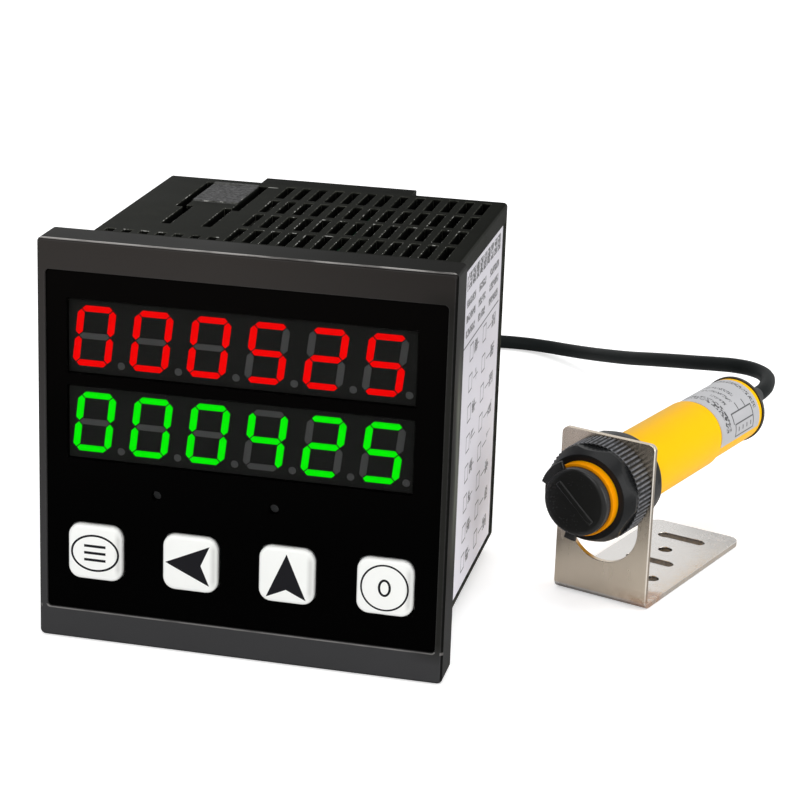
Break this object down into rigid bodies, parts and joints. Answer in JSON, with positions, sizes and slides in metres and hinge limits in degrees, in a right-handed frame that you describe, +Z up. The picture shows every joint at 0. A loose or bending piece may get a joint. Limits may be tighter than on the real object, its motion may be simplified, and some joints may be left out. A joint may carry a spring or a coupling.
{
  "type": "infrared counter",
  "caption": "Square panel counter with red and green digit rows, push keys and rear screw terminals, joined by a coiled cable to a round infrared sensor in a slotted angle bracket.",
  "frame": {"origin": "middle of the bezel's flat foot, on the floor", "axes": "+X to the right seen from the front, +Y from the display to the terminals, +Z up"},
  "size_m": [0.1567, 0.2662, 0.096],
  "materials": {
    "bezel_plastic": "satin",
    "window_plastic": "gloss",
    "face_plastic": "matt",
    "display_plastic": "matt",
    "red_light": "lit",
    "green_light": "lit",
    "dark_segment": "unlit",
    "lamp_lens": "unlit",
    "key_plastic": "satin",
    "switch_plastic": "satin",
    "board": "solder mask",
    "case_plastic": "fine texture",
    "label_film": "satin",
    "transformer_steel": "varnished",
    "capacitor_sleeve": "satin",
    "relay_plastic": "satin",
    "chip_plastic": "matt",
    "connector_plastic": "satin",
    "terminal_plastic": "satin",
    "screw_steel": "zinc plated",
    "clamp_brass": "satin",
    "bracket_steel": "nickel plated",
    "barrel_plastic": "satin",
    "filter_plastic": "gloss",
    "diode_clear": "gloss",
    "diode_dark": "gloss",
    "nut_plastic": "satin",
    "relief_rubber": "matt",
    "silver_label": "satin",
    "cable_sheath": "satin",
    "tie_plastic": "satin",
    "brown_insulation": "satin",
    "blue_insulation": "satin",
    "black_insulation": "satin"
  },
  "bodies": {
    "housing": {"front_bezel": "bezel_plastic", "front_window": "window_plastic", "face_plate": "face_plastic", "upper_display": "display_plastic", "lower_display": "display_plastic", "red_segments": "red_light", "green_segments": "green_light", "dark_segments": "dark_segment", "indicator_lamps": "lamp_lens", "front_board": "board", "key_switches": "switch_plastic", "rear_case": "case_plastic", "side_label": "label_film", "power_board": "board", "logic_board": "board", "board_connectors": "connector_plastic", "transformer": "transformer_steel", "filter_capacitors": "capacitor_sleeve", "output_relays": "relay_plastic", "control_chips": "chip_plastic", "left_terminal_block": "terminal_plastic", "right_terminal_block": "terminal_plastic", "terminal_screws": "screw_steel", "terminal_clamps": "clamp_brass", "mounting_bracket": "bracket_steel", "sensor_barrel": "barrel_plastic", "lens_filter": "filter_plastic", "optics_divider": "chip_plastic", "infrared_emitter": "diode_clear", "infrared_receiver": "diode_dark", "sensor_board": "board", "front_nut": "nut_plastic", "rear_nut": "nut_plastic", "end_cap": "nut_plastic", "strain_relief": "relief_rubber", "sensor_label": "silver_label", "sensor_cable": "cable_sheath", "cable_coil": "cable_sheath", "cable_ties": "tie_plastic", "terminal_lead": "cable_sheath", "brown_core": "brown_insulation", "blue_core": "blue_insulation", "black_core": "black_insulation"},
    "set_button": {"set_key": "key_plastic", "set_plunger": "switch_plastic"},
    "shift_button": {"shift_key": "key_plastic", "shift_plunger": "switch_plastic"},
    "up_button": {"up_key": "key_plastic", "up_plunger": "switch_plastic"},
    "reset_button": {"reset_key": "key_plastic", "reset_plunger": "switch_plastic"}
  },
  "joints": [
    {"name": "set_press", "type": "slide", "parent": "housing", "child": "set_button", "axis": [0, 1, 0], "range_m": [0, 0.0005], "stiffness_N_per_m": 4000},
    {"name": "shift_press", "type": "slide", "parent": "housing", "child": "shift_button", "axis": [0, 1, 0], "range_m": [0, 0.0005], "stiffness_N_per_m": 4000},
    {"name": "up_press", "type": "slide", "parent": "housing", "child": "up_button", "axis": [0, 1, 0], "range_m": [0, 0.0005], "stiffness_N_per_m": 4000},
    {"name": "reset_press", "type": "slide", "parent": "housing", "child": "reset_button", "axis": [0, 1, 0], "range_m": [0, 0.0005], "stiffness_N_per_m": 4000}
  ]
}
